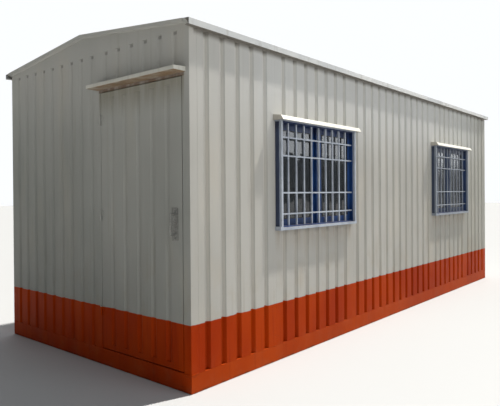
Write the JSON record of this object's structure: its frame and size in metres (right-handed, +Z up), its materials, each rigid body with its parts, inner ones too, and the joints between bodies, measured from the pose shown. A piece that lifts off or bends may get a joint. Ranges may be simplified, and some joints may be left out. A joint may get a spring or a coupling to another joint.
{
  "type": "portable site cabin",
  "caption": "Steel portable site cabin with grooved sheet walls, low gable roof, hinged door in one end and grilled sliding windows along one side.",
  "frame": {"origin": "on the ground under the middle of the plan, on the underside of the middle floor joist", "axes": "+X along the length away from the door end, +Y across to the plain side wall, +Z up"},
  "size_m": [6.241, 2.58, 2.5767],
  "materials": {
    "wall_paint": "weathered satin",
    "base_paint": "weathered satin",
    "roof_paint": "satin",
    "hood_paint": "satin",
    "grille_paint": "satin",
    "window_paint": "satin",
    "window_glass": "dark tint",
    "lining_board": "pale laminate",
    "floor_finish": "matt",
    "bare_steel": "dull"
  },
  "bodies": {
    "cabin": {"base_side_rails": "base_paint", "base_end_rails": "base_paint", "floor_joists": "base_paint", "corner_posts": "wall_paint", "window_posts": "wall_paint", "door_post": "wall_paint", "door_head": "wall_paint", "latch_jamb": "wall_paint", "eave_beams": "wall_paint", "tie_beams": "wall_paint", "gable_plates": "wall_paint", "front_wall_door_end": "wall_paint", "front_wall_middle": "wall_paint", "front_wall_far_end": "wall_paint", "front_wall_under_windows": "wall_paint", "front_wall_over_windows": "wall_paint", "back_wall_door_end": "wall_paint", "back_wall_middle": "wall_paint", "back_wall_far_end": "wall_paint", "door_end_wall": "wall_paint", "door_end_wall_over_door": "wall_paint", "far_end_wall": "wall_paint", "barge_trims": "wall_paint", "roof_sheet_front": "roof_paint", "roof_sheet_back": "roof_paint", "ridge_cap": "roof_paint", "eave_trims": "roof_paint", "window_hoods": "hood_paint", "door_hood": "hood_paint", "window_grille_near": "grille_paint", "window_grille_far": "grille_paint", "window_frames": "window_paint", "window_outer_sashes": "window_paint", "window_inner_sashes": "window_paint", "window_panes": "window_glass", "front_lining": "lining_board", "back_lining": "lining_board", "door_end_lining": "lining_board", "far_end_lining": "lining_board", "ceiling_board": "lining_board", "floor_board": "floor_finish", "door_hinge_lower_halves": "bare_steel"},
    "door": {"door_leaf": "wall_paint", "door_handle": "bare_steel", "door_hinge_upper_halves": "bare_steel"}
  },
  "joints": [
    {"name": "door_hinge", "type": "hinge", "parent": "cabin", "child": "door", "pos_m": [-3.058, -0.2235, 1.15], "axis": [0, 0, -1], "range_deg": [0, 170]}
  ]
}
